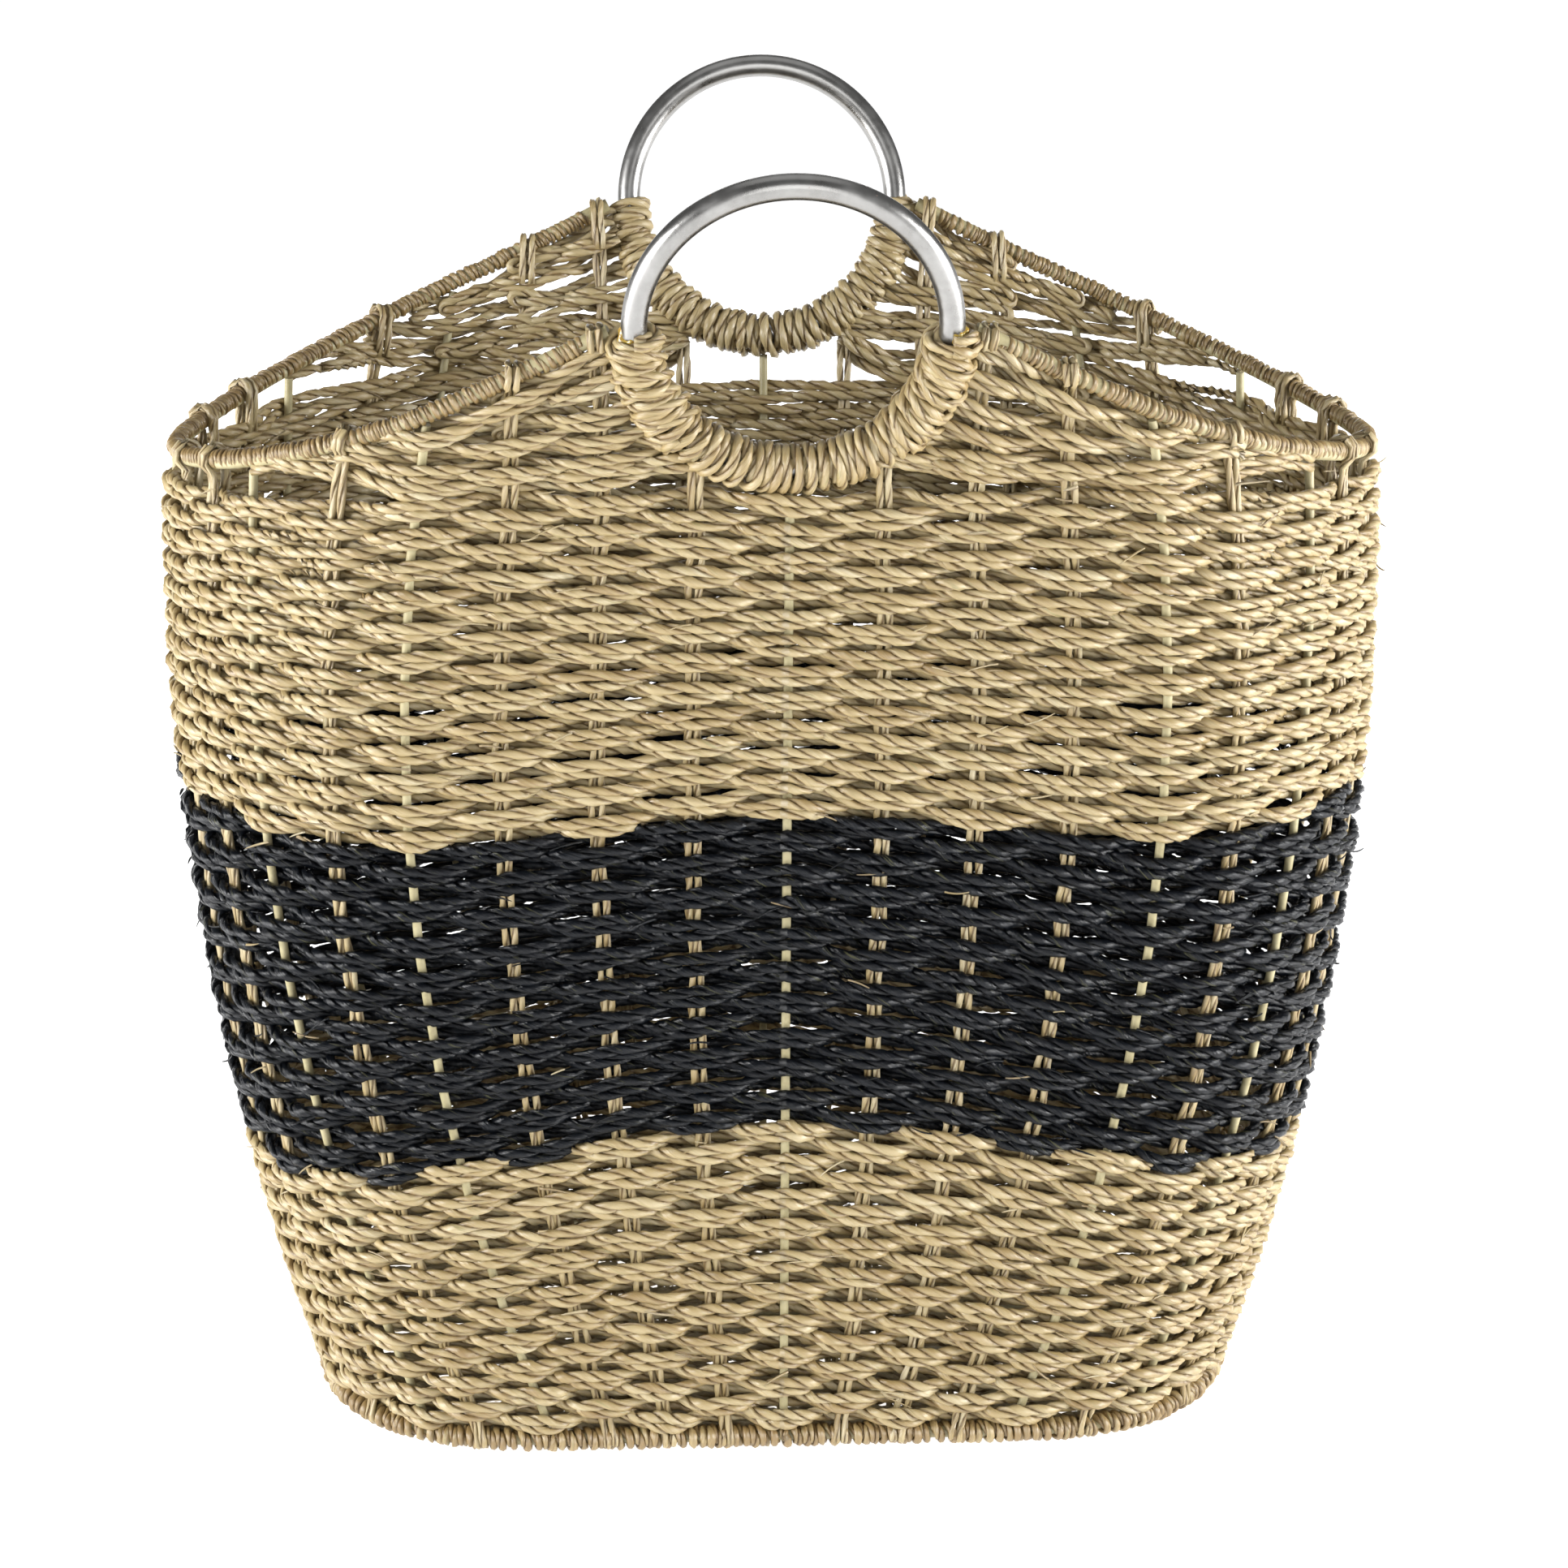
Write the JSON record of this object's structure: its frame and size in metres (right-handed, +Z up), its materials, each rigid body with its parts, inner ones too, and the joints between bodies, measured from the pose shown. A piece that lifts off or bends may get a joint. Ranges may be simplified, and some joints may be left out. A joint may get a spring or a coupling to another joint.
{
  "type": "woven market basket",
  "caption": "Tall open market basket woven from grass cord over a wire frame, with a wide dark band, a wrapped saddle-shaped rim and round steel ring handles.",
  "frame": {"origin": "on the ground under the middle of the basket", "axes": "+Z up, +X along the long side, -Y out of the front face"},
  "size_m": [0.4982, 0.3176, 0.5355],
  "materials": {
    "ring_steel": "satin steel with small rust specks",
    "coated_wire": "smooth khaki coating over steel wire",
    "natural_grass": "twisted dry grass cord, matt",
    "dyed_grass": "twisted grass cord dyed blue-black, slightly glossy",
    "glue": "set amber glue"
  },
  "bodies": {
    "root": {"back_centre_rib": "coated_wire", "back_dark_band": "dyed_grass", "back_left_corner_rib": "coated_wire", "back_left_corner_warp": "natural_grass", "back_left_end_warps": "natural_grass", "back_left_face_warps": "natural_grass", "back_left_glue_bead": "glue", "back_left_side_rib": "coated_wire", "back_lower_weave": "natural_grass", "back_right_corner_rib": "coated_wire", "back_right_corner_warp": "natural_grass", "back_right_end_warps": "natural_grass", "back_right_face_warps": "natural_grass", "back_right_glue_bead": "glue", "back_right_side_rib": "coated_wire", "back_ring_handle": "ring_steel", "back_ring_wrap": "natural_grass", "back_upper_weave": "natural_grass", "base_border_wire": "coated_wire", "base_border_wrap": "natural_grass", "base_centre_wire": "coated_wire", "base_left_wire": "coated_wire", "base_long_wire": "coated_wire", "base_panel": "natural_grass", "base_right_wire": "coated_wire", "front_centre_rib": "coated_wire", "front_dark_band": "dyed_grass", "front_left_corner_rib": "coated_wire", "front_left_corner_warp": "natural_grass", "front_left_end_warps": "natural_grass", "front_left_face_warps": "natural_grass", "front_left_glue_bead": "glue", "front_left_side_rib": "coated_wire", "front_lower_weave": "natural_grass", "front_right_corner_rib": "coated_wire", "front_right_corner_warp": "natural_grass", "front_right_end_warps": "natural_grass", "front_right_face_warps": "natural_grass", "front_right_glue_bead": "glue", "front_right_side_rib": "coated_wire", "front_ring_handle": "ring_steel", "front_ring_wrap": "natural_grass", "front_upper_weave": "natural_grass", "left_dark_band": "dyed_grass", "left_end_rib": "coated_wire", "left_lower_weave": "natural_grass", "left_rim_wire": "coated_wire", "left_rim_wrap": "natural_grass", "left_upper_weave": "natural_grass", "right_dark_band": "dyed_grass", "right_end_rib": "coated_wire", "right_lower_weave": "natural_grass", "right_rim_wire": "coated_wire", "right_rim_wrap": "natural_grass", "right_upper_weave": "natural_grass"}
  },
  "joints": []
}
